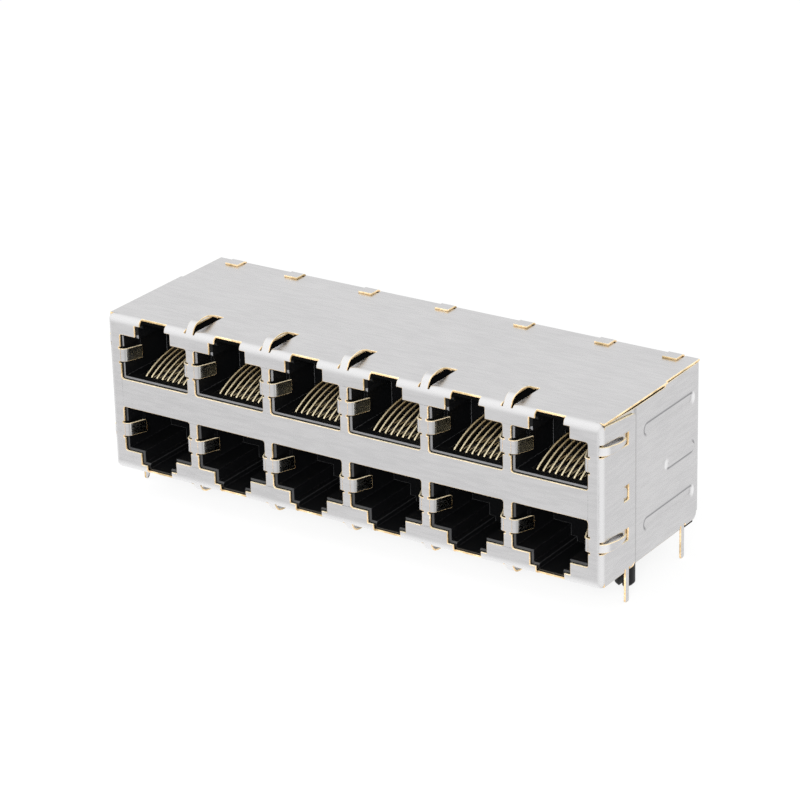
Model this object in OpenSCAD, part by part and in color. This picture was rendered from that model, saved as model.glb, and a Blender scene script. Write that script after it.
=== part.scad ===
// Stacked, ganged and shielded modular jack for a circuit board.
// x runs along the row of ports, y runs back from the ports, z is up.
// The origin lies on the board, midway between the two locating pegs.

/* [Ports] */
// Width of a port opening in the shield
opening_w = 12.58; // [12:0.01:13]
// Width of the web between two openings
port_web = 1.39; // [1.3:0.01:3]
// Height of the plain part of a port opening
opening_h = 7.3; // [7:0.05:8]
// Width of the step that the plug's latch passes
step_w = 6.7; // [6:0.05:7.5]
// Height of that step
step_h = 1.85; // [1.5:0.05:2]
// Width of the narrow notch beyond the step
notch_w = 4.7; // [3.5:0.05:5.5]
// Corner radius of a port opening
opening_r = 0.4; // [0.2:0.05:0.8]
// Height between the upper and the lower openings
row_gap = 4.6; // [4.4:0.05:6]
// Height of the middle between the two rows over the board
mid_z = 13.1; // [12.9:0.05:13.4]
// How far the moulded cavity stands in from the opening
cavity_inset = 0.37; // [0.2:0.01:0.5]
// Lead-in chamfer at the mouth of a cavity
lead_in = 0.25; // [0.1:0.05:0.4]
// Depth of a cavity behind the front face
cavity_d = 11; // [10.5:0.1:12]

/* [Shield] */
// Thickness of the shield sheet
sheet = 0.3; // [0.2:0.01:0.35]
// Width of the shield outside the last opening
end_margin = 2.21; // [2:0.01:3]
// Height of the front shield
shield_h = 25.35; // [25:0.05:26.5]
// Height of the shield's lower edge over the board
shield_lift = 0.3; // [0.2:0.05:0.6]
// Depth over both shields
shield_d = 29.2; // [28.5:0.1:34]
// Outer radius of the bends
bend_r = 0.9; // [0.7:0.05:1.1]
// Depth of the side and bottom flanges of the front shield
flange_d = 9.55; // [9:0.05:9.8]
// Height of the side panels' lower edge over the shield's lower edge
side_lift = 0.25; // [0.1:0.05:0.4]
// Drop of the side flange's upper edge at its front
flange_drop = 0.5; // [0.4:0.05:1]
// Further drop of that edge towards the rear
flange_slope = 0.85; // [0:0.05:1.2]
// Corner radius of the flanges and panels
corner_r = 0.6; // [0.3:0.05:1]
// Depth at which the top sheet's side edges step in
top_step_d = 18.8; // [12:0.1:22]
// Length of the hole in each flange that the catch snaps into
catch_l = 2.4; // [1.6:0.1:3]
// Width of that hole
catch_w = 1.4; // [1.2:0.05:1.8]
// Gap round the catch in its hole
catch_gap = 0.25; // [0.1:0.05:0.3]
// How far the narrow notches cut back into the bends
notch_back = 0.78; // [0.5:0.01:0.85]

/* [Contact fingers of the shield] */
// Width of a finger
finger_w = 1.3; // [1:0.05:1.4]
// Width of a finger at its tip
finger_tip_w = 0.5; // [0.4:0.05:0.9]
// Depth behind the front face at which a finger starts to narrow
finger_taper_d = 2.2; // [1.6:0.1:3]
// Angle round the front bend at which the finger windows start
finger_root = 32; // [30:1:40]
// Slot on either side of a finger
finger_slot = 0.3; // [0.2:0.05:0.35]
// Straight rise of the top and bottom fingers
finger_rise = 0.9; // [0.5:0.05:1]
// Straight rise of the side fingers
side_finger_rise = 0.1; // [0.05:0.05:0.2]
// Radius of the knee between a finger's rise and its arch
knee_r = 1.6; // [1.4:0.1:1.8]
// Radius of the arch of the top and bottom fingers
arch_r = 6.5; // [6.2:0.1:6.6]
// Radius of the arch of the side fingers
side_arch_r = 9; // [8.4:0.1:9.2]
// Depth of the windows that hold the fingers
window_d = 7.6; // [7.5:0.05:8.2]
// Height of the lower side fingers over the board
side_finger_low = 6.75; // [4:0.05:9]
// Height of the upper side fingers over the board
side_finger_high = 21.6; // [17:0.1:22]
// Slope of the side fingers down towards the rear
side_finger_tilt = 3.8; // [0:0.1:5]
// Height of a grounding tab in a port
tab_h = 2.1; // [1.5:0.1:2.6]
// Height of the tabs from the middle between the rows
tab_z = 6.15; // [5:0.05:7]
// Bend radius of a tab at its middle line
tab_r = 0.8; // [0.6:0.05:1]
// Angle through which a tab is bent
tab_angle = 68; // [60:1:80]
// Length of a tab behind its bend
tab_l = 2.7; // [2:0.1:3]
// Radius of the corner of a tab's tip
tab_tip_r = 0.6; // [0.3:0.05:0.9]
// Height of the nicks beside the root of a tab
tab_nick = 0.3; // [0.2:0.05:0.4]

/* [Rear shield] */
// Width of the tabs folded over the top sheet
fold_w = 2.4; // [1.5:0.1:4]
// Reach of those tabs from the rear face
fold_d = 2.7; // [2:0.1:4]
// Distance of the outer folded tabs from the ends
fold_end = 4.1; // [3.5:0.1:6]
// Height of the stiffening ribs
rib_h = 1.65; // [1:0.05:2]
// How far the ribs are pressed in or out
rib_d = 0.3; // [0.15:0.05:0.35]
// Distance of the ribs' rear ends from the rear face
rib_back = 2; // [1.5:0.1:4]
// Length of the two long ribs
rib_long = 14.5; // [10:0.5:15]
// Length of the middle rib
rib_short = 8.4; // [6:0.2:12]
// Height of the lower ribs over the shield's lower edge
rib_low = 5.2; // [4:0.1:7]
// Depth of the upper ribs below the shield's upper edge
rib_high = 5.4; // [4:0.1:7]
// Distance of the middle ribs below the middle between the rows
rib_mid = 0.4; // [0:0.1:1]
// Depth of the relief along the upper edge of the side panels
edge_relief = 0.5; // [0.2:0.05:0.8]
// Size of the relief at the lower ends of the rear bends
bend_relief = 1.1; // [0.6:0.1:1.6]

/* [Legs and pegs] */
// Width of a shield leg
leg_w = 1; // [0.8:0.05:1.4]
// Corner radius of a leg's tip
leg_tip_r = 0.4; // [0.2:0.05:0.4]
// Width of the relief slits beside a leg
leg_slit = 0.25; // [0.2:0.05:0.4]
// Height of those slits
leg_slit_h = 0.4; // [0.3:0.05:0.8]
// Reach of the legs below the board's upper face
leg_l = 4.4; // [3.6:0.1:5]
// Depth of the front legs behind the front face
front_leg_d = 7.32; // [6.5:0.01:8]
// Depth of the rear legs behind the front face
rear_leg_d = 24.2; // [22:0.1:25.5]
// Diameter of a locating peg
peg_dia = 3; // [2.6:0.1:3.2]
// Reach of the pegs below the board's upper face
peg_l = 3.4; // [2.8:0.1:3.5]
// Length of the taper at a peg's tip
peg_tip = 0.4; // [0.3:0.05:0.8]
// Room round a peg in the bottom flange
peg_bay = 0.9; // [0.85:0.05:1.1]
// Width of the slit in a peg
peg_slit = 0.7; // [0.5:0.05:0.9]
// Depth of the slit from the tip
peg_slit_l = 2.2; // [1.5:0.1:3]
// Distance of a peg from the end of the shield
peg_end = 2.35; // [2.3:0.05:3.5]
// Depth of the pegs behind the front face
peg_d = 10.75; // [10.6:0.05:11.5]

/* [Contacts] */
// Number of contacts in a port
contacts = 8; // [4:2:8]
// Distance from one contact to the next
contact_pitch = 1.016; // [1:0.001:1.05]
// Width of a contact
contact_w = 0.46; // [0.35:0.01:0.55]
// Thickness of a contact
contact_t = 0.34; // [0.25:0.01:0.4]
// Depth of the contacts' front bend behind the front face
contact_d = 3.2; // [3:0.05:3.6]
// Radius of the front bend at its middle line
contact_r = 0.55; // [0.4:0.05:0.65]
// Slope of a contact where it leaves the front bend
contact_slope = 30; // [20:1:34]
// Radius of the long arch of a contact
contact_arch = 16.5; // [14:0.5:18]
// Length of the straight free end of a contact
contact_end = 1.3; // [1:0.1:1.5]
// Reach of the tails below the board's upper face
tail_l = 2.9; // [2.6:0.1:3.4]
// Depth of the first row of tails behind the front face
tail_d = 16.9; // [16.6:0.1:18]
// Distance from one row of tails to the next
tail_pitch = 2.54; // [2:0.01:2.6]
// Bend radius of the tails at the middle line
tail_r = 0.7; // [0.5:0.05:1]

/* [Mouldings] */
// Thickness of the carrier's tongue between the rows
tongue_t = 3.2; // [2.8:0.1:3.4]
// Depth of the tongue's front edge behind the front face
tongue_d = 3.3; // [3.1:0.1:3.6]
// Thickness of the tail plate
plate_t = 0.9; // [0.7:0.1:1.2]
// Clearance between mouldings and sheet
fit = 0.05; // [0.03:0.01:0.08]
// Clearance of a contact in its groove
groove_fit = 0.06; // [0.04:0.01:0.08]
// Width of the tongue outside the outermost contacts
tongue_side = 1.3; // [0.8:0.1:1.6]
// Height of the comb that guides the contacts' free ends
comb_h = 2.6; // [2.4:0.1:3]
// Clearance round a grounding tab in its pocket
pocket_gap = 0.25; // [0.2:0.05:0.4]
// Room in front of the first tails in a carrier bay
bay_room = 0.6; // [0.4:0.1:1]
// Thickness of the walls round the coring above the carriers
core_wall = 1.5; // [1:0.1:2]
// Width of the wall between two carrier bays
bay_wall = 1.4; // [1:0.1:2]
// Length of a standoff along the row
pad_l = 3; // [2:0.1:4]
// Width of a standoff from front to back
pad_w = 1.9; // [1.6:0.1:2]
// Distance of the rear standoffs from the housing's back
pad_back = 1; // [0.5:0.1:2]

/* [Hidden] */
$fn = 32;

// The nodes above are named for six columns, each with one port above another.
columns = 6;
port_pitch = opening_w + port_web;

front_y = -peg_d;
shield_w = (columns - 1) * port_pitch + opening_w + 2 * end_margin;
z0 = shield_lift;
z1 = z0 + shield_h;
port_z = mid_z + row_gap / 2;
port_top = port_z + opening_h;
step_top = port_top + step_h;
floor_z = port_z + cavity_inset;
side_z = z0 + side_lift;
finger_t = sheet - 0.04;
slip = 0.1;

// The rear shield slides in under the front shield's flanges.
rear_w = shield_w - 2 * sheet - fit;
rear_top = z1 - sheet - fit;

// The housing fills both shields.
house_w = rear_w - 2 * sheet - 2 * fit;
house_y = sheet + fit;
house_back = shield_d - sheet - fit;
house_z = z0 + sheet + fit;
house_top = z1 - sheet - fit;
bay_y = tail_d - tail_r - bay_room;
bay_w = port_pitch - bay_wall;
peg_x = shield_w / 2 - peg_end;

// Heights of the pressed-in ribs.
rib_z = [z0 + rib_low, z1 - rib_high];

// Middle of the catch and of its hole in the flange.
catch_d = front_leg_d - 0.3;
catch_z = mid_z - 0.3;

// Levels of the carriers and the contacts that lie in them.
tongue_top = mid_z + tongue_t / 2;
tongue_w = (contacts - 1) * contact_pitch + contact_w + 2 * tongue_side;
run_z = tongue_top - contact_t / 2;
plate_top = house_z + plate_t;
carrier_back = tail_d + 3 * tail_pitch + contact_t / 2 + bay_room / 2;
groove_w = contact_w + 2 * groove_fit;
trough_w = (contacts - 1) * contact_pitch + groove_w + 0.6;

function column_x(c) = (c - (columns - 1) / 2) * port_pitch;
function contact_x(i) = (i - (contacts - 1) / 2) * contact_pitch;

// Rows of tails: lower contacts use rows 0 and 1, upper contacts rows 2 and 3.
function tail_y(i, upper) = tail_d + tail_pitch * ((upper ? 2 : 0) + i % 2);

// Points of an arc that starts at p and whose slope falls from a0 to a1.
function arc_down(p, r, a0, a1, n) =
    [for (k = [1:n]) let (a = a0 + (a1 - a0) * k / n)
        p + r * [sin(a0) - sin(a), cos(a) - cos(a0)]];
function last(p) = p[len(p) - 1];
function direction(p, k) =
    let (d = p[min(k + 1, len(p) - 1)] - p[max(k - 1, 0)]) d / norm(d);
function beside(p, w) =
    [for (k = [0:len(p) - 1]) let (d = direction(p, k)) p[k] + w * [-d[1], d[0]]];

// Outline of a strip of width w along the path p.
function strip(p, w) =
    let (a = beside(p, w / 2), b = beside(p, -w / 2))
        concat(a, [for (k = [len(b) - 1:-1:0]) b[k]]);

// Middle line of a finger: it leaves the bend, rises, bows over and dips again.
// The first value runs back from the front face, the second out from the sheet.
function finger_path(rise, r, a_end) =
    let (a0 = 94 - finger_root, a1 = 14,
        p0 = [bend_r, -bend_r] + (bend_r - sheet / 2) * [-sin(a0), cos(a0)],
        p1 = p0 + rise * [cos(a0), sin(a0)],
        q = arc_down(p1, knee_r, a0, a1, 6))
            concat([p0, p1], q, arc_down(last(q), r, a1, a_end, 10));

// Front part of a contact, with heights from its straight run in the tongue:
// round the front bend, up the long arch and straight on to the free end.
function contact_front() =
    let (bend = [for (a = [270:-12:90 + contact_slope])
            [contact_d, contact_r] + contact_r * [cos(a), sin(a)]],
        arch = arc_down(last(bend), contact_arch, contact_slope, 4, 8))
            concat(bend, arch, [last(arch) + contact_end * [cos(4), sin(4)]]);

// Middle line of a contact from its tail to its free end. The lower row's
// contacts hang under the tongue, as the upper row's turned over.
function contact_path(y_tail, upper) =
    let (level = upper ? run_z : 2 * mid_z - run_z,
        up = upper ? 1 : -1,
        turn = [for (a = [0:15:90])
            [y_tail, level] + tail_r * [cos(a) - 1, sin(a) - 1]])
            concat([[y_tail, -tail_l]], turn,
                [for (p = contact_front()) [p[0], level + up * p[1]]]);

module both_sides() {
    children();
    mirror([1, 0, 0]) children();
}

module both_rows() {
    children();
    translate([0, 0, 2 * mid_z]) mirror([0, 0, 1]) children();
}

module at_columns() {
    for (c = [0:columns - 1]) translate([column_x(c), 0, 0]) children();
}

module at_port_walls() {
    for (c = [1:columns - 1]) translate([column_x(c) - port_pitch / 2, 0, 0]) children();
}

// Extrudes an outline of the x-z plane between two depths.
module along_y(y_from, y_to) {
    translate([0, y_to, 0]) rotate([90, 0, 0]) linear_extrude(y_to - y_from) children();
}

// Extrudes an outline of the y-z plane between two places along the row.
module along_x(x_from, x_to) {
    translate([x_from, 0, 0]) rotate([90, 0, 90]) linear_extrude(x_to - x_from) children();
}

module rounded_square(w, h, r) {
    translate([r, 0]) square([w - 2 * r, h]);
    translate([0, r]) square([w, h - 2 * r]);
    for (x = [r, w - r], y = [r, h - r]) translate([x, y]) circle(r);
}

// Quarter of a bent sheet in the first quadrant.
module quarter_bend() {
    intersection() {
        difference() {
            circle(bend_r);
            circle(bend_r - sheet);
        }
        square(bend_r + 1);
    }
}

// ---- front shield ----

// Outline of an upper port opening in the flat front wall.
module opening_outline() {
    translate([-opening_w / 2, port_z]) rounded_square(opening_w, opening_h, opening_r);
    translate([-step_w / 2, port_top - 1]) square([step_w, step_h + 1]);
}

module port_opening() {
    along_y(-1, sheet + 0.1) opening_outline();
    along_y(-1, notch_back)
        translate([-notch_w / 2, step_top - 1]) square([notch_w, bend_r + 3]);
    // Nicks above and below the root of each grounding tab.
    both_sides() along_y(-1, sheet + 0.1)
        for (z = [-tab_h / 2 - tab_nick, tab_h / 2])
            translate([opening_w / 2 - 0.2, mid_z + tab_z + z])
                square([0.2 + tab_nick, tab_nick]);
}

// Grounding tab on the right edge of an upper opening, bent back into the port.
module grounding_tab() {
    root = [[tab_nick, 0], [0, 0]];
    arc = [for (a = [8:10:tab_angle]) [-tab_r * sin(a), tab_r * (1 - cos(a))]];
    tip = last(arc) + tab_l * [-cos(tab_angle), sin(tab_angle)];
    y_tip = tip[1] + sheet;
    intersection() {
        translate([opening_w / 2, sheet / 2, mid_z + tab_z - tab_h / 2])
            linear_extrude(tab_h) polygon(strip(concat(root, arc, [tip]), finger_t));
        along_x(0, opening_w) translate([0, mid_z + tab_z - tab_h / 2]) {
            r = tab_tip_r;
            translate([-1, 0]) square([y_tip - r + 1, tab_h]);
            translate([0, r]) square([y_tip + 1, tab_h - r]);
            translate([y_tip - r, r]) circle(r);
        }
    }
}

// Bent-up tray of the front shield: front wall, four bends and four drawn corners.
module front_tray() {
    flat_w = shield_w - 2 * bend_r;
    flat_h = shield_h - 2 * bend_r;
    translate([-flat_w / 2, 0, z0 + bend_r]) cube([flat_w, sheet, flat_h]);
    for (z = [z0 + bend_r, z1 - bend_r])
        translate([0, bend_r, z]) mirror([0, 0, z < mid_z ? 1 : 0])
            along_x(-flat_w / 2, flat_w / 2) mirror([1, 0]) quarter_bend();
    both_sides() translate([flat_w / 2, bend_r, z0 + bend_r])
        linear_extrude(flat_h) mirror([0, 1]) quarter_bend();
    both_sides() for (z = [z0 + bend_r, z1 - bend_r])
        translate([flat_w / 2, bend_r, z]) mirror([0, 0, z < mid_z ? 1 : 0])
            mirror([0, 1, 0]) rotate_extrude(angle = 90) quarter_bend();
}

// Top sheet with its stepped side edges and notches for the folded rear tabs.
module top_sheet() {
    d1 = shield_d - sheet - fit;
    half = shield_w / 2;
    inner = rear_w / 2;
    difference() {
        translate([0, 0, z1 - sheet]) linear_extrude(sheet) polygon([
            [-half, bend_r], [half, bend_r], [half, top_step_d], [inner, top_step_d],
            [inner, d1], [-inner, d1], [-inner, top_step_d], [-half, top_step_d]]);
        at_folds() translate([-fold_w / 2 - 0.2, d1 - bend_r, z1 - 1])
            cube([fold_w + 0.4, bend_r + 1, 2]);
    }
}

// Side flange with its sloping upper edge and rounded rear corners.
module side_flange() {
    zt = z1 - flange_drop;
    drop = zt - flange_slope;
    r = corner_r;
    along_x(shield_w / 2 - sheet, shield_w / 2) difference() {
        union() {
            polygon([[bend_r, side_z], [flange_d - r, side_z], [flange_d - r, drop],
                [bend_r, zt]]);
            translate([flange_d - 2 * r, side_z + r])
                square([2 * r, drop - side_z - 2 * r]);
            for (z = [side_z + r, drop - r]) translate([flange_d - r, z]) circle(r);
        }
        // Small hole that the rear shield's catch snaps into.
        translate([catch_d - catch_w / 2, catch_z - catch_l / 2]) square([catch_w, catch_l]);
        leg_slits(front_leg_d);
    }
}

// Leg with a rounded tip, in the plane of a side panel.
module leg(x, y) {
    r = leg_tip_r;
    along_x(x - sheet, x) translate([y, -leg_l]) {
        translate([-leg_w / 2, r]) square([leg_w, leg_l + side_z + leg_slit_h + 0.1 - r]);
        translate([-leg_w / 2 + r, 0]) square([leg_w - 2 * r, 1]);
        for (s = [-1, 1]) translate([s * (leg_w / 2 - r), r]) circle(r);
    }
}

// Outline of the relief slits beside a leg.
module leg_slits(y) {
    for (s = [-leg_w / 2 - leg_slit, leg_w / 2])
        translate([y + s, side_z - 1]) square([leg_slit, leg_slit_h + 1]);
}

// Opening for a finger, cut through the sheet and most of the bend.
module finger_window(z) {
    w = finger_w / 2 + finger_slot;
    axis = [bend_r, -bend_r];
    ray = [-cos(finger_root), sin(finger_root)];
    far = axis + (bend_r + 0.6) * ray;
    near = axis + 0.4 * bend_r * ray;
    translate([0, 0, z]) along_x(-w, w)
        polygon([far, near, [window_d, near[1]], [window_d, 1], [far[0], 1]]);
}

// Finger, narrower towards its tip.
module finger(rise, r, a_end) {
    intersection() {
        along_x(-finger_w / 2, finger_w / 2) polygon(strip(finger_path(rise, r, a_end), finger_t));
        translate([0, 0, -2]) linear_extrude(5) polygon([[-finger_w / 2, -1], [finger_w / 2, -1],
            [finger_w / 2, finger_taper_d], [finger_tip_w / 2, window_d],
            [-finger_tip_w / 2, window_d], [-finger_w / 2, finger_taper_d]]);
    }
}

// Places a finger made for the top at a side wall.
module on_side(z) {
    translate([shield_w / 2, 0, z]) rotate([0, 90, 0]) rotate([0, 0, -side_finger_tilt]) children();
}

module front_shield() {
    color("silver") translate([0, front_y, 0]) {
        difference() {
            union() {
                front_tray();
                top_sheet();
                translate([-shield_w / 2 + bend_r, bend_r, z0])
                    cube([shield_w - 2 * bend_r, flange_d - bend_r, sheet]);
                both_sides() side_flange();
            }
            at_columns() both_rows() port_opening();
            at_port_walls() {
                finger_window(z1);
                translate([0, 0, z0]) mirror([0, 0, 1]) finger_window(0);
            }
            both_sides() {
                for (z = [side_finger_low, side_finger_high]) on_side(z) finger_window(0);
                // Bay in the bottom flange that clears the locating peg.
                translate([peg_x, peg_d, z0 - 0.1])
                    cylinder(h = sheet + 0.2, d = peg_dia + 2 * peg_bay);
            }
        }
        at_port_walls() {
            translate([0, 0, z1]) finger(finger_rise, arch_r, -38);
            translate([0, 0, z0]) mirror([0, 0, 1]) finger(finger_rise, arch_r, -38);
        }
        both_sides() {
            for (z = [side_finger_low, side_finger_high])
                on_side(z) finger(side_finger_rise, side_arch_r, -23);
            leg(shield_w / 2, front_leg_d);
        }
        at_columns() both_rows() both_sides() grounding_tab();
    }
}

// ---- rear shield ----

module at_folds() {
    for (c = [1:columns - 1]) translate([column_x(c) - port_pitch / 2, 0, 0]) children();
    both_sides() translate([shield_w / 2 - fold_end, 0, 0]) children();
}

// Stadium-shaped boss with sloping walls, pressed out from the y-z plane.
module rib(l, h, d) {
    r = h / 2;
    s = l / 2 - r;
    rotate([0, 90, 0]) {
        for (y = [-s, s]) translate([0, y, 0]) cylinder(h = d, r1 = r, r2 = r - d * 0.8);
        translate([0, s, 0]) rotate([90, 0, 0]) linear_extrude(2 * s)
            polygon([[-r, 0], [r, 0], [r - d * 0.8, d], [-r + d * 0.8, d]]);
    }
}

// Flat outline of a side panel, relieved along its upper edge and at the lower
// end of the rear bend.
module panel_outline() {
    y0 = bend_r + 0.1;
    y1 = shield_d - bend_r;
    r = bend_relief;
    polygon([[y0, side_z], [y1 - r, side_z], [y1 - r, side_z + r], [y1, side_z + r],
        [y1, rear_top], [top_step_d, rear_top - edge_relief / 4],
        [top_step_d - 0.2, rear_top - edge_relief], [flange_d, rear_top - edge_relief],
        [y0, rear_top - edge_relief / 5]]);
    intersection() {
        translate([y1 - r, side_z + r]) circle(r);
        translate([y1 - r, side_z]) square(r);
    }
}

// Side panel of the rear shield with its legs, ribs and catch.
module side_panel() {
    x = rear_w / 2;
    y_end = shield_d - rib_back;
    difference() {
        union() {
            along_x(x - sheet, x) panel_outline();
            for (z = rib_z) translate([x - sheet, y_end - rib_long / 2, z])
                mirror([1, 0, 0]) rib(rib_long + sheet, rib_h + sheet, rib_d);
            translate([x, y_end - rib_short / 2, mid_z - rib_mid])
                rib(rib_short, rib_h, rib_d);
            leg(x, rear_leg_d);
            // Catch that snaps into the hole in the flange.
            translate([x, catch_d, catch_z]) rotate([90, 0, 0])
                rib(catch_l - 2 * catch_gap, catch_w - 2 * catch_gap, sheet);
        }
        for (z = rib_z) translate([x, y_end - rib_long / 2, z])
            mirror([1, 0, 0]) rib(rib_long, rib_h, rib_d);
        translate([x - sheet, y_end - rib_short / 2, mid_z - rib_mid])
            rib(rib_short - sheet, rib_h - sheet, rib_d);
        along_x(x - 1, x + 1) leg_slits(rear_leg_d);
    }
}

// Tab that rises from the back panel and folds forward over the top sheet.
module folded_tab() {
    zt = z1 + sheet;
    yb = shield_d;
    along_x(-fold_w / 2, fold_w / 2) {
        translate([yb - sheet, rear_top - 1]) square([sheet, zt - bend_r - rear_top + 1]);
        translate([yb - bend_r, zt - bend_r]) quarter_bend();
        translate([yb - fold_d, z1]) square([fold_d - bend_r, sheet]);
    }
}

module rear_shield() {
    color("gainsboro") translate([0, front_y, 0]) {
        flat_w = rear_w - 2 * bend_r;
        low = side_z + bend_relief;
        translate([-flat_w / 2 + bend_relief, shield_d - sheet, side_z])
            cube([flat_w - 2 * bend_relief, sheet, rear_top - side_z]);
        translate([-flat_w / 2, shield_d - sheet, low]) cube([flat_w, sheet, rear_top - low]);
        both_sides() {
            translate([flat_w / 2, shield_d - bend_r, low])
                linear_extrude(rear_top - low) quarter_bend();
            side_panel();
        }
        at_folds() folded_tab();
    }
}

// ---- housing ----

// Outline of an upper cavity, which follows the opening at a distance.
module cavity_outline() {
    d = cavity_inset;
    translate([-opening_w / 2 + d, floor_z]) square([opening_w - 2 * d, opening_h - 2 * d]);
    translate([-step_w / 2 + d, floor_z]) square([step_w - 2 * d, opening_h + step_h - 2 * d]);
    translate([-notch_w / 2 + d, floor_z])
        square([notch_w - 2 * d, opening_h + step_h - d + 0.4]);
}

// Flared mouth around a rectangle of the cavity.
module mouth(w, z_from, z_to) {
    c = lead_in;
    y = house_y;
    intersection() {
        translate([0, 0, z_from - 1]) linear_extrude(z_to - z_from + 2) polygon([
            [-w / 2 - c - 0.1, y - 0.1], [w / 2 + c + 0.1, y - 0.1],
            [w / 2, y + c], [-w / 2, y + c]]);
        along_x(-w / 2 - 1, w / 2 + 1) polygon([
            [y - 0.1, z_from - c - 0.1], [y + c, z_from],
            [y + c, z_to], [y - 0.1, z_to + c + 0.1]]);
    }
}

module upper_cavity() {
    d = cavity_inset;
    along_y(0, cavity_d) cavity_outline();
    mouth(opening_w - 2 * d, floor_z, port_top - d);
    mouth(step_w - 2 * d, floor_z, step_top - d);
    // Trough in the floor, through which the contacts rise from the tongue.
    trough_y = contact_d - contact_r - contact_t - 0.3;
    translate([-trough_w / 2, trough_y, mid_z])
        cube([trough_w, cavity_d - trough_y, floor_z - mid_z + 1]);
    // Comb slots that guide the free ends of the contacts.
    for (i = [0:contacts - 1])
        translate([contact_x(i) - groove_w / 2 - 0.04, cavity_d - 1, floor_z])
            cube([groove_w + 0.08, contact_end + 0.9, comb_h]);
    // Pockets that let the grounding tabs swing aside.
    both_sides() translate([opening_w / 2 - 1, 0, mid_z + tab_z - tab_h / 2 - pocket_gap])
        cube([1.15, tab_r + tab_l + 1.1, tab_h + 2 * pocket_gap]);
}

// Space behind and between the cavities that takes a contact carrier.
module carrier_bay() {
    translate([-bay_w / 2, bay_y, -1]) cube([bay_w, house_back, tongue_top + fit + 1]);
    translate([-tongue_w / 2 - fit, tongue_d - fit, mid_z - tongue_t / 2 - fit])
        cube([tongue_w + 2 * fit, bay_y, tongue_t + 2 * fit]);
    // Coring above the carrier, open to the rear.
    translate([-bay_w / 2, cavity_d + contact_end + core_wall, tongue_top + fit + core_wall])
        cube([bay_w, house_back, house_top - tongue_top - fit - 2 * core_wall]);
}

// Split peg.
module peg() {
    difference() {
        union() {
            translate([0, 0, -peg_l + peg_tip])
                cylinder(h = peg_l - peg_tip + house_z + 0.1, d = peg_dia);
            translate([0, 0, -peg_l])
                cylinder(h = peg_tip, r1 = peg_dia / 2 - peg_tip * 0.9, r2 = peg_dia / 2);
        }
        translate([-peg_slit / 2, -peg_dia, -peg_l - 1])
            cube([peg_slit, 2 * peg_dia, peg_slit_l + 1]);
    }
}

// Block that fills the shields, chamfered where it meets the inside of their bends.
module housing_block() {
    c = bend_r - sheet - fit;
    w = house_w / 2;
    intersection() {
        translate([0, 0, house_z]) linear_extrude(house_top - house_z) polygon([
            [-w + c, house_y], [w - c, house_y], [w, house_y + c], [w, house_back - c],
            [w - c, house_back], [-w + c, house_back], [-w, house_back - c], [-w, house_y + c]]);
        along_x(-w, w) polygon([
            [house_y, house_z + c], [house_y + c, house_z], [house_back, house_z],
            [house_back, house_top - c], [house_back - c, house_top],
            [house_y + c, house_top], [house_y, house_top - c]]);
    }
}

module housing() {
    side_wall = house_w / 2 - column_x(columns - 1) - bay_w / 2;
    color([0.09, 0.09, 0.1]) translate([0, front_y, 0]) {
        difference() {
            housing_block();
            at_columns() {
                both_rows() upper_cavity();
                carrier_bay();
            }
            // Seat for the tail plate under the walls between the bays.
            translate([column_x(0) - bay_w / 2, bay_y, -1])
                cube([column_x(columns - 1) - column_x(0) + bay_w, house_back, plate_top + 1]);
            // Recesses for the ribs of the rear shield.
            both_sides() for (z = rib_z)
                translate([house_w / 2 - rib_d - fit, shield_d - rib_back - rib_long - 4 * slip,
                    z - rib_h / 2 - 4 * slip])
                    cube([1, rib_long + 8 * slip, rib_h + 8 * slip]);
        }
        both_sides() {
            translate([peg_x, peg_d, 0]) peg();
            translate([house_w / 2 - side_wall, house_back - pad_back - pad_l, 0])
                cube([side_wall, pad_l, house_z + 0.2]);
        }
        at_port_walls() standoff();
    }
}

// Foot that holds the jack off the board.
module standoff() {
    translate([-pad_l / 2, peg_d - pad_w / 2, 0]) cube([pad_l, pad_w, house_z + 0.2]);
}

// ---- contact carriers and tail plate ----

module contact_carrier(c) {
    low = mid_z - tongue_t / 2;
    body_w = bay_w - 2 * fit;
    body_y = bay_y + 0.3;
    color([0.12, 0.12, 0.13]) translate([column_x(c), front_y, 0]) difference() {
        union() {
            translate([-tongue_w / 2, tongue_d, low]) cube([tongue_w, bay_y, tongue_t]);
            translate([-body_w / 2, body_y, plate_top])
                cube([body_w, carrier_back - body_y, tongue_top - plate_top]);
        }
        for (i = [0:contacts - 1]) translate([contact_x(i) - groove_w / 2, 0, 0]) {
            up = tail_y(i, true) - contact_t / 2 - groove_fit;
            down = tail_y(i, false) + contact_t / 2 + groove_fit;
            bottom = tongue_top - contact_t - groove_fit;
            top = low + contact_t + groove_fit;
            // Grooves on top of the tongue and down the back of the body.
            translate([0, tongue_d - 1, bottom]) cube([groove_w, up - tongue_d + 2, 1]);
            translate([0, up, -1]) cube([groove_w, 20, tongue_top + 2]);
            translate([0, up - 0.4, bottom - 0.4]) cube([groove_w, 20, 2]);
            // Grooves under the tongue and down the front of the body.
            translate([0, tongue_d - 1, low - 1]) cube([groove_w, down - tongue_d + 1, 1 + top - low]);
            translate([0, body_y - 1, -1]) cube([groove_w, down - body_y + 1, top + 1]);
        }
    }
}

module tail_plate() {
    w = column_x(columns - 1) - column_x(0) + bay_w - 2 * fit;
    color([0.14, 0.14, 0.15]) translate([0, front_y, 0]) difference() {
        translate([-w / 2, bay_y + fit, house_z])
            cube([w, house_back - bay_y - fit, plate_t]);
        at_columns() for (i = [0:contacts - 1], upper = [true, false])
            translate([contact_x(i) - groove_w / 2,
                tail_y(i, upper) - contact_t / 2 - groove_fit, 0])
                cube([groove_w, contact_t + 2 * groove_fit, 5]);
    }
}

// ---- contacts ----

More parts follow.
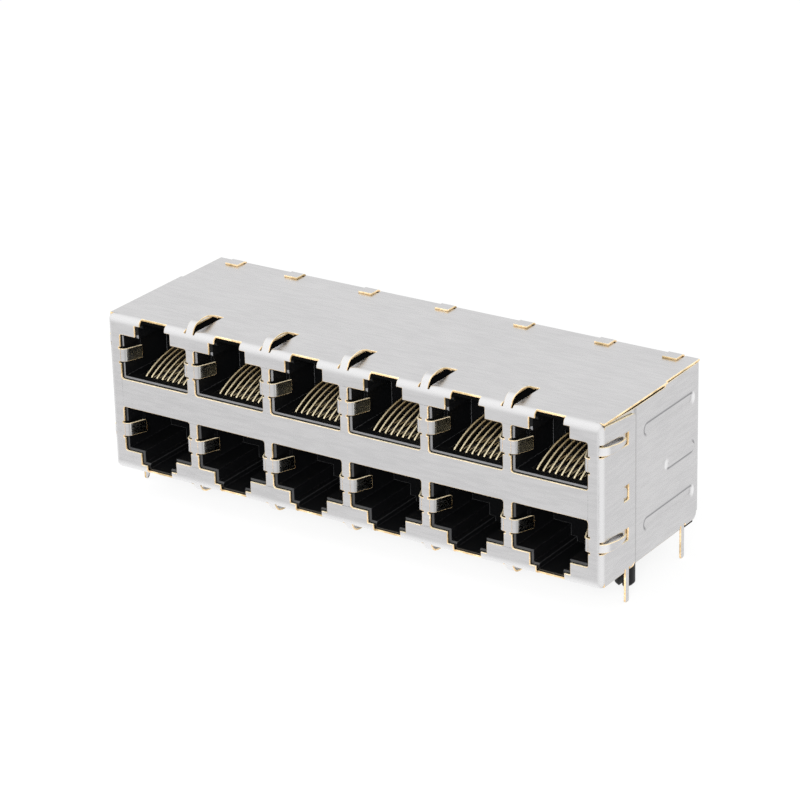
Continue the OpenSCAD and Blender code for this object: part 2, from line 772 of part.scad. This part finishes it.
module contact_row(c, upper) {
    color("gold") translate([column_x(c), front_y, 0])
        for (i = [0:contacts - 1])
            translate([contact_x(i), 0, 0])
                along_x(-contact_w / 2, contact_w / 2)
                    polygon(strip(contact_path(tail_y(i, upper), upper), contact_t));
}

front_shield();
rear_shield();
housing();
tail_plate();
contact_carrier(0);  // contact_carrier_1
contact_carrier(1);  // contact_carrier_2
contact_carrier(2);  // contact_carrier_3
contact_carrier(3);  // contact_carrier_4
contact_carrier(4);  // contact_carrier_5
contact_carrier(5);  // contact_carrier_6
contact_row(0, true);  // upper_contacts_1
contact_row(1, true);  // upper_contacts_2
contact_row(2, true);  // upper_contacts_3
contact_row(3, true);  // upper_contacts_4
contact_row(4, true);  // upper_contacts_5
contact_row(5, true);  // upper_contacts_6
contact_row(0, false);  // lower_contacts_1
contact_row(1, false);  // lower_contacts_2
contact_row(2, false);  // lower_contacts_3
contact_row(3, false);  // lower_contacts_4
contact_row(4, false);  // lower_contacts_5
contact_row(5, false);  // lower_contacts_6
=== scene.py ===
import bpy
import math
from mathutils import Matrix, Vector
from mathutils.bvhtree import BVHTree


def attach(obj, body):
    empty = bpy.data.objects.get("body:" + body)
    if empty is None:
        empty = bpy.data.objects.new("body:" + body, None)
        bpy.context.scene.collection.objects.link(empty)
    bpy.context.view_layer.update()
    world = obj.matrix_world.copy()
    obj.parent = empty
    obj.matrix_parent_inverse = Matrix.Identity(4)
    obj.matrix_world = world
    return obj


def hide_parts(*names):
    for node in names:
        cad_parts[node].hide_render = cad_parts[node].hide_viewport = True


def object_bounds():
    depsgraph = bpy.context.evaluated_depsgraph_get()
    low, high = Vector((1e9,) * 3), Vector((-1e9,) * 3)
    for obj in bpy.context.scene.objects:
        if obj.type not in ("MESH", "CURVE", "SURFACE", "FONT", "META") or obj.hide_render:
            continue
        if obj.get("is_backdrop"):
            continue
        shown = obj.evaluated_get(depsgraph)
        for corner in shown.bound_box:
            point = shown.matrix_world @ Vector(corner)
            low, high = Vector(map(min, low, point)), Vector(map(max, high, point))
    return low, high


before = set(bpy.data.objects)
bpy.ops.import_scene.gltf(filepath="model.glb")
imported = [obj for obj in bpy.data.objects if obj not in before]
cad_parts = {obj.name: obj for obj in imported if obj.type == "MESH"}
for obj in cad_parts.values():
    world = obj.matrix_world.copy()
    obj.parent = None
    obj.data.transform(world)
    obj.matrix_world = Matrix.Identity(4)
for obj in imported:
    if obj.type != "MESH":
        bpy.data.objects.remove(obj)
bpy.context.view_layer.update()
mm = 0.001
white = (1, 1, 1, 1)
evenly = (1, 1, 1)       # for a pattern that isn't stretched


class Wire:
    # one output socket that can be used in sums
    def __init__(self, nodes, socket):
        self.nodes = nodes
        self.socket = socket

    def math(self, operation, first, second=0.0):
        return self.nodes.add("ShaderNodeMath", {"operation": operation}, {0: first, 1: second})

    def __add__(self, other): return self.math("ADD", self, other)
    def __radd__(self, other): return self.math("ADD", other, self)
    def __sub__(self, other): return self.math("SUBTRACT", self, other)
    def __rsub__(self, other): return self.math("SUBTRACT", other, self)
    def __mul__(self, other): return self.math("MULTIPLY", self, other)
    def __rmul__(self, other): return self.math("MULTIPLY", other, self)
    def __abs__(self): return self.math("ABSOLUTE", self)
    def power(self, other): return self.math("POWER", self, other)
    def above(self, other): return self.math("GREATER_THAN", self, other)
    def greater(self, other): return self.math("MAXIMUM", self, other)
    def smaller(self, other): return self.math("MINIMUM", self, other)

    def ramp(self, low, high):
        # 0 below low, 1 above high, smooth between them
        return self.nodes.add("ShaderNodeMapRange", {"interpolation_type": "SMOOTHSTEP"},
                              {"Value": self, "From Min": low, "From Max": high})


class Nodes:
    # the nodes of a material or of the world, up to its output node
    def __init__(self, tree, ending):
        self.tree = tree
        self.tree.nodes.clear()
        self.end = self.tree.nodes.new(ending)

    def add(self, kind, settings=None, values=None, output=0):
        node = self.tree.nodes.new(kind)
        for key, value in (settings or {}).items():
            setattr(node, key, value)
        for key, value in (values or {}).items():
            self.feed(value, node.inputs[key])
        return Wire(self, node.outputs[output])

    def feed(self, value, socket):
        if isinstance(value, Wire):
            self.tree.links.new(value.socket, socket)
        else:
            socket.default_value = value

    def show(self, shader):
        self.feed(shader, self.end.inputs["Surface"])

    def rays(self):
        # masks for what is seen directly, mirrored in gloss, and through glass
        path = self.add("ShaderNodeLightPath").socket.node
        kinds = ("Is Camera Ray", "Is Glossy Ray", "Is Transmission Ray")
        return [Wire(self, path.outputs[kind]) for kind in kinds]


class Finish(Nodes):
    # a material with one Principled shader, whose fixed values are given by name
    def __init__(self, name, fixed):
        self.material = bpy.data.materials.new(name)
        self.material.use_nodes = True
        super().__init__(self.material.node_tree, "ShaderNodeOutputMaterial")
        self.shader = self.add("ShaderNodeBsdfPrincipled", {}, fixed)
        self.show(self.shader)

    def drive(self, key, value):
        self.feed(value, self.shader.socket.node.inputs[key])

    def place(self):
        return self.add("ShaderNodeTexCoord", output="Object")

    def parts(self, vector):
        # the x, y and z of a vector
        split = self.add("ShaderNodeSeparateXYZ", {}, {0: vector}).socket.node
        return [Wire(self, socket) for socket in split.outputs]

    def facing(self):
        # which way the surface faces, along the object's own axes
        return self.parts(self.add("ShaderNodeTexCoord", output="Normal"))

    def noise(self, place, size, scale, detail=3.0, rough=0.6):
        # size stretches the pattern along x, y and z; scale is in features per millimetre
        stretched = self.add("ShaderNodeMapping", {}, {"Vector": place, "Scale": size})
        return self.add("ShaderNodeTexNoise", {}, {"Vector": stretched, "Scale": scale / mm,
                                                   "Detail": detail, "Roughness": rough})

    def blend(self, share, first, second):
        # mixes two numbers
        return self.add("ShaderNodeMix", {"data_type": "FLOAT"}, {0: share, 2: first, 3: second})

    def tint(self, share, first, second):
        # mixes two colours
        first, second = [c if isinstance(c, Wire) else (*c, 1) for c in (first, second)]
        return self.add("ShaderNodeMix", {"data_type": "RGBA"}, {0: share, 6: first, 7: second}, 2)

    def bump(self, height, strength, depth):
        # depth is in millimetres
        self.drive("Normal", self.add("ShaderNodeBump", {}, {"Height": height, "Strength": strength,
                                                             "Distance": depth * mm}))

    def bend(self, low, high):
        # 0 on faces square to the axes, 1 on bends and bevels
        x, y, z = self.facing()
        return (1 - abs(x).greater(abs(y)).greater(abs(z))).ramp(low, high)


# The ribs of the side panels. out is 1 where a rib is pressed out of the panel, -1 where it is
# pressed in, and half is half its length.
ribs = dict(
    low=dict(middle=9.2 * mm, height=5.5 * mm, half=7.25 * mm, radius=0.825 * mm, out=-1),
    high=dict(middle=9.2 * mm, height=20.25 * mm, half=7.25 * mm, radius=0.825 * mm, out=-1),
    short=dict(middle=12.25 * mm, height=12.7 * mm, half=4.2 * mm, radius=0.825 * mm, out=1),
)
nickel = dict(
    dark=(0.575, 0.57, 0.575),          # between the grains
    pale=(0.655, 0.648, 0.652),         # on the grains
    bendHighlight=(0.88, 0.875, 0.88),      # painted highlight on the bends round the front
    groove=(0.19, 0.19, 0.2),           # painted shade on the edges of a rib that face down or back
    ribHighlight=(0.88, 0.875, 0.88),          # and painted highlight on those that face forward
    tab=(0.2, 0.2, 0.19),               # inside the ports, where the metal is in shade
    tabHighlight=(0.85, 0.85, 0.84),         # painted highlight across the bend of a tab
    flangeShadow=(0.0, 0.0, 0.0),               # painted shadow next to the rear edge of the flange
    front=-10.75 * mm,
    side=43.425 * mm,
    low=0.3 * mm,
    high=25.65 * mm,
    flangeEdge=-1.2 * mm,
    grainLength=(0.12, 1.0, 1.0),       # rolled along the row of ports
    endGrain=(1.0, 0.12, 1.0),          # and from front to back on the ends
    grain=2.2,
    grainDetail=1.5,
    grainRange=(0.3, 0.7),
    grainShare=0.7,                     # of the grain in the colour, the rest is cloud
    cloud=0.12,
    cloudRange=(0.25, 0.75),
    endFacing=0.7,                      # how squarely a face of the ends looks sideways
    frontSlope=1.3,                     # how fast the painted bend highlight fades to the rear
    endSlope=1.7,                       # and from the ends inwards
    bendHighlightRange=(0.45 * mm, 1.5 * mm),
    portInset=1.2 * mm,                 # the ports lie inside this border
    portFront=0.12 * mm,
    portBack=9.0 * mm,
    tabRange=(0.1 * mm, 0.6 * mm),      # depths between which a tab darkens
    bandFront=(0.32 * mm, 0.55 * mm),   # depths at which the painted highlight comes and goes
    bandBack=(0.6 * mm, 0.95 * mm),
    ribDepth=0.7 * mm,                  # the faces of the ribs lie within this of the side
    ribFacing=0.2,
    ribLine=(0.08 * mm, 0.42 * mm),     # distances over which a rib's outline fades
    ribRoll=0.8,                        # share of the radius over which its lower side darkens
    grooveShare=0.85,
    seamRange=(0.6 * mm, 1.0 * mm),     # distances behind the flange at which the painted shadow fades
    seamShare=0.24,
    rough=0.22,
    grainRough=0.08,
    grainBump=(0.15, 0.004),
)


def ribEdges(y, z, rib, look):
    # painted shade and painted highlight on a rib's outline, from the distance to it
    straight = rib["half"] - rib["radius"]
    along = y - rib["middle"]
    rise = z - rib["height"]
    past = (abs(along) - straight).greater(0.0)
    outside = (past * past + rise * rise).power(0.5) - rib["radius"]
    band = 1 - abs(outside).ramp(*look["ribLine"])
    under = (rise * -rib["out"]).ramp(0.0, rib["radius"] * look["ribRoll"])
    front = (along * -1.0).ramp(straight, rib["half"])
    rear = along.ramp(straight, rib["half"])
    shaded, lit = (rear, front) if rib["out"] > 0 else (front, rear)
    return band * under.greater(shaded) * (1 - lit), band * lit


def nickelFinish(look):
    finish = Finish("nickelSheet", {"Metallic": 1.0})
    place = finish.place()
    x, y, z = finish.parts(place)
    sideways = abs(finish.facing()[0])
    onEnd = sideways.above(look["endFacing"])
    along = finish.noise(place, look["grainLength"], look["grain"], look["grainDetail"])
    rearward = finish.noise(place, look["endGrain"], look["grain"], look["grainDetail"])
    grain = finish.blend(onEnd, along, rearward).ramp(*look["grainRange"])
    cloud = finish.noise(place, evenly, look["cloud"], rough=0.5).ramp(*look["cloudRange"])
    mottle = grain * look["grainShare"] + cloud * (1 - look["grainShare"])
    colour = finish.tint(mottle, look["dark"], look["pale"])

    depth = y - look["front"]
    fromEnd = look["side"] - abs(x)
    fromEdge = (look["high"] - z).smaller(z - look["low"])
    # painted highlight on the bends round the front, fading onto the faces around them
    spread = depth * look["frontSlope"] + (fromEnd * look["endSlope"]).smaller(fromEdge)
    colour = finish.tint(1 - spread.ramp(*look["bendHighlightRange"]), colour, look["bendHighlight"])

    inPort = fromEnd.smaller(fromEdge).above(look["portInset"])
    inPort = inPort * depth.above(look["portFront"]) * (1 - depth.above(look["portBack"]))
    # painted shade in the ports, with a painted highlight across the bend of each tab
    band = depth.ramp(*look["bandFront"]) * (1 - depth.ramp(*look["bandBack"]))
    colour = finish.tint(inPort * depth.ramp(*look["tabRange"]), colour, look["tab"])
    colour = finish.tint(inPort * band, colour, look["tabHighlight"])

    # painted shade and painted highlight along the outlines of the ribs
    outer = abs(x).above(look["side"] - look["ribDepth"]) * sideways.above(look["ribFacing"])
    for rib in ribs.values():
        shaded, lit = ribEdges(y, z, rib, look)
        colour = finish.tint(shaded * outer * look["grooveShare"], colour, look["groove"])
        colour = finish.tint(lit * outer, colour, look["ribHighlight"])
    # painted shadow on the rear panel just behind the flange's rear edge
    behind = y - look["flangeEdge"]
    flangeShadow = onEnd * behind.above(0.0) * (1 - behind.ramp(*look["seamRange"]))
    finish.drive("Base Color", finish.tint(flangeShadow * look["seamShare"], colour, look["flangeShadow"]))
    finish.drive("Roughness", look["rough"] + grain * look["grainRough"])
    finish.bump(grain, *look["grainBump"])
    return finish.material


copper = dict(
    brown=(0.52, 0.38, 0.19),
    bright=(0.9, 0.62, 0.32),
    creamAndHighlight=(1.0, 0.93, 0.7),
    metal=0.5,
    sheen=0.4,
    patch=0.35,
    warmRange=(0.35, 0.6),       # where the patches turn from brown to bright
    creamRange=(0.35, 0.65),     # and where they may be cream
    drag=5.0,                    # fine marks of the cutting
    dragRange=(0.4, 0.7),
    upRange=(0.4, 0.9),          # faces that look up get cream too, as a painted highlight
    upShare=0.55,
    upDrag=0.5,
    rough=0.55,
    dragRough=0.15,
    dragBump=(0.3, 0.01),
)


def copperFinish(look):
    finish = Finish("sheetCutEdge", {"Metallic": look["metal"], "Specular IOR Level": look["sheen"]})
    place = finish.place()
    patch = finish.noise(place, evenly, look["patch"])
    drag = finish.noise(place, evenly, look["drag"])
    # cream marks of the cutting at random, and a painted highlight on faces that look up
    upwardHighlight = finish.facing()[2].ramp(*look["upRange"])
    warm = finish.tint(patch.ramp(*look["warmRange"]), look["brown"], look["bright"])
    marks = drag.ramp(*look["dragRange"]) * patch.ramp(*look["creamRange"])
    creamAndHighlight = marks.greater(upwardHighlight * (look["upShare"] + drag * look["upDrag"])).smaller(1.0)
    finish.drive("Base Color", finish.tint(creamAndHighlight, warm, look["creamAndHighlight"]))
    finish.drive("Roughness", look["rough"] + drag * look["dragRough"])
    finish.bump(drag, *look["dragBump"])
    return finish.material


black = dict(
    colour=(0.0035, 0.0036, 0.004),
    chamferHighlight=(0.15, 0.15, 0.155),        # painted highlight on lead-ins and corners
    sheen=0.22,
    fine=7.0,
    broad=0.4,
    cornerRange=(0.05, 0.25),
    highlightFacing=(0.2, 0.7),           # the painted highlight is on faces that look up and to the right
    highlightLeast=0.75,
    highlightSpread=0.5,
    lowerRow=13.1 * mm,              # the lower ports get less painted highlight
    lowerHighlight=0.25,
    rimHeight=23 * mm,               # no painted highlight above this height
    rimSide=41 * mm,                 # or farther out than this
    rough=0.42,
    fineRough=0.14,
    broadRough=0.06,
    fineBump=(0.35, 0.012),
)


def mouldingFinish(look):
    finish = Finish("blackMoulding", {"Specular IOR Level": look["sheen"]})
    place = finish.place()
    fine = finish.noise(place, evenly, look["fine"])
    broad = finish.noise(place, evenly, look["broad"], rough=0.5)
    x, _, z = finish.parts(place)
    across, _, up = finish.facing()
    # painted highlight on the bevelled lead-ins and corners that face the light
    inside = (1 - z.above(look["rimHeight"])) * (1 - abs(x).above(look["rimSide"]))
    lit = (across + up).ramp(*look["highlightFacing"]) * inside
    patchy = look["highlightLeast"] + broad * look["highlightSpread"]
    row = look["lowerHighlight"] + z.above(look["lowerRow"]) * (1 - look["lowerHighlight"])
    chamferHighlight = finish.bend(*look["cornerRange"]) * lit * patchy * row
    finish.drive("Base Color", finish.tint(chamferHighlight.smaller(1.0), look["colour"], look["chamferHighlight"]))
    finish.drive("Roughness", look["rough"] + fine * look["fineRough"] - broad * look["broadRough"])
    finish.bump(fine, *look["fineBump"])
    return finish.material


shadeBlack = dict(dark=(0.001, 0.001, 0.001), pale=(0.004, 0.004, 0.0042), fine=7.0)


def shadeBlackFinish(look):
    # a matte black without sheen, as painted shade: for the faces that lie against the sheet metal,
    # partly their own black, and for cut edges in shaded gaps
    finish = Finish("shadeBlackMoulding", {"Specular IOR Level": 0.0, "Roughness": 1.0})
    fine = finish.noise(finish.place(), evenly, look["fine"])
    finish.drive("Base Color", finish.tint(fine, look["dark"], look["pale"]))
    return finish.material


gold = dict(
    front=(0.98, 0.87, 0.6),
    rear=(0.72, 0.53, 0.27),
    flank=(0.05, 0.035, 0.018),      # the cut sides, in shade between the contacts
    tin=(0.66, 0.65, 0.63),          # on the tails
    metal=0.45,
    sheen=0.5,
    depths=(-7.6 * mm, -1.0 * mm),   # painted shade, darker from front to rear deeper in the port
    drawn=9.0,
    drawnLength=(1.0, 0.08, 0.3),    # drawn from front to back
    drawnRange=(0.3, 0.7),
    drawnShare=0.25,
    flankFacing=(0.6, 0.9),
    tinHeights=(0.3 * mm, 0.7 * mm),
    rough=0.45,
    drawnRough=0.1,
    tinRough=0.12,
    drawnBump=(0.2, 0.006),
)


def goldFinish(look):
    finish = Finish("contactGold", {"Metallic": look["metal"], "Specular IOR Level": look["sheen"]})
    place = finish.place()
    _, y, z = finish.parts(place)
    sideways = abs(finish.facing()[0])
    drawn = finish.noise(place, look["drawnLength"], look["drawn"])
    # painted shade: lighter at the front of the contacts, darker deeper in the port
    shadedPlating = finish.tint(y.ramp(*look["depths"]), look["front"], look["rear"])
    shaded = drawn.ramp(*look["drawnRange"]) * look["drawnShare"]
    shadedPlating = finish.tint(shaded, shadedPlating, look["rear"])
    flanked = finish.tint(sideways.ramp(*look["flankFacing"]), shadedPlating, look["flank"])
    tinned = 1 - z.ramp(*look["tinHeights"])
    finish.drive("Base Color", finish.tint(tinned, flanked, look["tin"]))
    finish.drive("Roughness", look["rough"] + drawn * look["drawnRough"] + tinned * look["tinRough"])
    finish.bump(drawn, *look["drawnBump"])
    return finish.material


nickelSheet = nickelFinish(nickel)
cutEdge = copperFinish(copper)
blackMoulding = mouldingFinish(black)
shadeBlackMoulding = shadeBlackFinish(shadeBlack)
contactGold = goldFinish(gold)
print("finishes made")


weldReach = 0.0015       # millimetres: corners nearer than this are one


def only(piece):
    bpy.ops.object.select_all(action="DESELECT")
    piece.select_set(True)
    bpy.context.view_layer.objects.active = piece


def carriedOver(node, name, materials):
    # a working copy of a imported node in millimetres, with its loose triangles merged
    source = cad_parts[node]
    piece = bpy.data.objects.new(name, source.data.copy())
    bpy.context.scene.collection.objects.link(piece)
    piece.data.materials.clear()
    for material in materials:
        piece.data.materials.append(material)
    only(piece)
    if piece.data.has_custom_normals:
        bpy.ops.mesh.customdata_custom_splitnormals_clear()
    piece.data.transform(Matrix.Scale(1 / mm, 4))
    bpy.ops.object.mode_set(mode="EDIT")
    bpy.ops.mesh.select_all(action="SELECT")
    bpy.ops.mesh.remove_doubles(threshold=weldReach)
    bpy.ops.object.mode_set(mode="OBJECT")
    return piece


def surfaceOf(piece):
    mesh = piece.data
    return BVHTree.FromPolygons([v.co for v in mesh.vertices], [p.vertices for p in mesh.polygons])


def rounded(piece, name, width, settings):
    rim = piece.modifiers.new(name, "BEVEL")
    rim.width = width
    rim.segments = 2
    rim.use_clamp_overlap = False
    rim.miter_outer = "MITER_ARC"
    for key, value in settings.items():
        setattr(rim, key, value)
    bpy.ops.object.modifier_apply(modifier=name)


def holdTo(piece, tree, reach):
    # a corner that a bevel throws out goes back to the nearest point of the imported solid
    for v in piece.data.vertices:
        place, _, _, distance = tree.find_nearest(v.co)
        if distance > reach:
            v.co = place


def finishEdges(piece, tree, width, angle):
    # rounds the edges sharper than the angle, and brings the piece back to metres
    only(piece)
    bpy.ops.object.shade_smooth_by_angle(angle=math.radians(angle))
    rounded(piece, "rim", width, dict(limit_method="ANGLE", angle_limit=math.radians(angle)))
    holdTo(piece, tree, 2 * width)
    even = piece.modifiers.new("even", "WEIGHTED_NORMAL")
    even.keep_sharp = True
    bpy.ops.object.modifier_apply(modifier=even.name)
    piece.data.transform(Matrix.Scale(mm, 4))


# In millimetres and degrees. The front shield has neither a proud part nor a seam of painted shade.
sheetMetal = dict(
    thickness=0.45,          # the metal behind a face of the sheet is thinner than this
    start=0.002,             # how far behind the face the measuring starts
    turned=0.06,             # rounding between the sheet and its cut edges
    rim=0.035,               # rounding of the edges sharper than angle
    angle=38,
    proud=math.inf,          # what stands farther out than this counts as sheet
    seamHeight=math.inf,     # cut edges above this height and farther out than seamSide are drawn black as painted shade
    seamSide=42.7,
    seamFacing=0.5,
)


def markCutFaces(piece, look):
    # faces where the metal behind them is deeper than the sheet are its cut edges
    mesh = piece.data
    tree = surfaceOf(piece)
    for face in mesh.polygons:
        out = abs(face.center.x)
        deep = tree.ray_cast(face.center - face.normal * look["start"], -face.normal)[3] or 0.0
        sheet = deep < look["thickness"] or out > look["proud"]
        # painted shade: the cut edges over the shaded gap under the top sheet get the matte black
        high = face.normal.z > look["seamFacing"] and face.center.z > look["seamHeight"]
        inShadedSeam = high and out > look["seamSide"]
        face.material_index = 0 if sheet else 2 if inShadedSeam else 1


def turnOverEdges(piece, width):
    # rounds the borders between sheet and cut faces, which show the cut metal
    mesh = piece.data
    only(piece)
    sides = {}
    for face in mesh.polygons:
        for key in face.edge_keys:
            sides.setdefault(key, set()).add(face.material_index)
    weight = mesh.attributes.new("bevel_weight_edge", "FLOAT", "EDGE")
    for edge in mesh.edges:
        weight.data[edge.index].value = 1.0 if len(sides[edge.key]) > 1 else 0.0
    rounded(piece, "turned", width, dict(limit_method="WEIGHT", material=1))


def sheetPiece(node, name, look):
    piece = carriedOver(node, name, [nickelSheet, cutEdge, shadeBlackMoulding])
    markCutFaces(piece, look)
    tree = surfaceOf(piece)
    turnOverEdges(piece, look["turned"])
    finishEdges(piece, tree, look["rim"], look["angle"])
    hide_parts(node)
    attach(piece, "root")
    return piece


frontShield = sheetPiece("front_shield", "frontShieldSheet", sheetMetal)
rearShield = sheetPiece("rear_shield", "rearShieldSheet", dict(sheetMetal, proud=43.11, seamHeight=24.3))
print("shields made", len(frontShield.data.polygons), len(rearShield.data.polygons))


# Faces above top or farther out than side lie against the sheet metal and get the matte black of painted
# shade.
moulding = dict(rim=0.06, angle=34, top=24.6, side=42.6)     # millimetres and degrees


def mouldedPiece(node, name, look):
    piece = carriedOver(node, name, [blackMoulding, shadeBlackMoulding])
    for face in piece.data.polygons:
        outer = face.center.z > look["top"] or abs(face.center.x) > look["side"]
        face.material_index = 1 if outer else 0
    finishEdges(piece, surfaceOf(piece), look["rim"], look["angle"])
    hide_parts(node)
    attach(piece, "root")
    return piece


columns = [name[-1] for name in sorted(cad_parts) if name.startswith("contact_carrier_")]
housing = mouldedPiece("housing", "housingMoulding", moulding)
mouldedPiece("tail_plate", "tailPlateMoulding", moulding)
for column in columns:
    mouldedPiece("contact_carrier_" + column, "carrierMoulding" + column, moulding)
print("mouldings made", len(housing.data.polygons))


contact = dict(rim=0.05, angle=40, pitch=1.016, share=0.62)  # millimetres and degrees


def slimmed(piece, pitch, share):
    # draws each contact in to a share of its width, about its own middle
    edges = [v.co.x for v in piece.data.vertices]
    middle = (min(edges) + max(edges)) / 2
    for v in piece.data.vertices:
        own = middle + (math.floor((v.co.x - middle) / pitch) + 0.5) * pitch
        v.co.x = own + (v.co.x - own) * share


def contactSet(node, name, look):
    piece = carriedOver(node, name, [contactGold])
    slimmed(piece, look["pitch"], look["share"])
    finishEdges(piece, surfaceOf(piece), look["rim"], look["angle"])
    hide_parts(node)
    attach(piece, "root")
    return piece


for row in ("upper", "lower"):
    for column in columns:
        contacts = contactSet(row + "_contacts_" + column, row + "ContactSet" + column, contact)
print("contacts made", len(contacts.data.polygons))


floor = dict(
    width=3.0,
    drop=0.02 * mm,          # below the legs' tips
    colour=(0.92, 0.92, 0.92),
    rough=0.9,
    lift=0.85,               # share of white that the camera sees
    mirrored=1.0,            # and that gloss and glass show
)


def makeFloor(look):
    bpy.ops.object.select_all(action="DESELECT")
    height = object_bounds()[0].z - look["drop"]
    bpy.ops.mesh.primitive_plane_add(size=look["width"], location=(0, 0, height))
    plane = bpy.context.object
    plane.name = "paleFloor"
    finish = Finish("paleFloor", {"Base Color": (*look["colour"], 1), "Roughness": look["rough"],
                                  "Specular IOR Level": 0.0})
    camera, glossy, through = finish.rays()
    share = (camera * look["lift"] + (glossy + through) * look["mirrored"]).smaller(1.0)
    glow = finish.add("ShaderNodeEmission", {}, {"Strength": 1.0})
    finish.show(finish.add("ShaderNodeMixShader", {}, {0: share, 1: finish.shader, 2: glow}))
    plane.data.materials.append(finish.material)
    plane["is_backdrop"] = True
    return plane


makeFloor(floor)


sky = dict(seen=1.0, light=0.9)


def makeSky(look):
    world = bpy.data.worlds.new("paleStudio")
    bpy.context.scene.world = world
    world.use_nodes = True
    nodes = Nodes(world.node_tree, "ShaderNodeOutputWorld")
    camera, glossy, through = nodes.rays()
    light, seen = [nodes.add("ShaderNodeBackground", {}, {"Color": white, "Strength": look[key]})
                   for key in ("light", "seen")]
    share = camera.greater(glossy).greater(through)
    nodes.show(nodes.add("ShaderNodeMixShader", {}, {0: share, 1: light, 2: seen}))


makeSky(sky)


lamps = dict(
    key=dict(place=(-0.31, -0.23, 0.46), size=0.4, power=1.0),
    front=dict(place=(0.36, -0.62, 0.3), size=0.3, power=7.0),
)
aim = Vector((0, 0, 12 * mm))


def makeLamp(name, look):
    light = bpy.data.lights.new(name, "AREA")
    light.size = look["size"]
    light.energy = look["power"]
    lamp = bpy.data.objects.new(name, light)
    bpy.context.scene.collection.objects.link(lamp)
    lamp.location = look["place"]
    lamp.visible_glossy = False
    lamp.rotation_euler = (aim - lamp.location).to_track_quat("-Z", "Y").to_euler()


for name, look in lamps.items():
    makeLamp(name + "Lamp", look)


# Metres and degrees, with the lens in millimetres.
view = dict(place=(0.25227, -0.36906, 0.20243), turn=(67.418, 1.369, 33.499), lens=146.6,
            sensor=36.0, nearest=0.01, farthest=20.0)


def makeCamera(look):
    data = bpy.data.cameras.new("studioCamera")
    data.lens = look["lens"]
    data.sensor_width = look["sensor"]
    data.clip_start = look["nearest"]
    data.clip_end = look["farthest"]
    camera = bpy.data.objects.new("studioCamera", data)
    bpy.context.scene.collection.objects.link(camera)
    camera.location = look["place"]
    camera.rotation_euler = [math.radians(a) for a in look["turn"]]
    bpy.context.scene.camera = camera


makeCamera(view)
bpy.context.scene.view_settings.view_transform = "Standard"
bpy.ops.object.select_all(action="DESELECT")
print("floor, light and camera made")
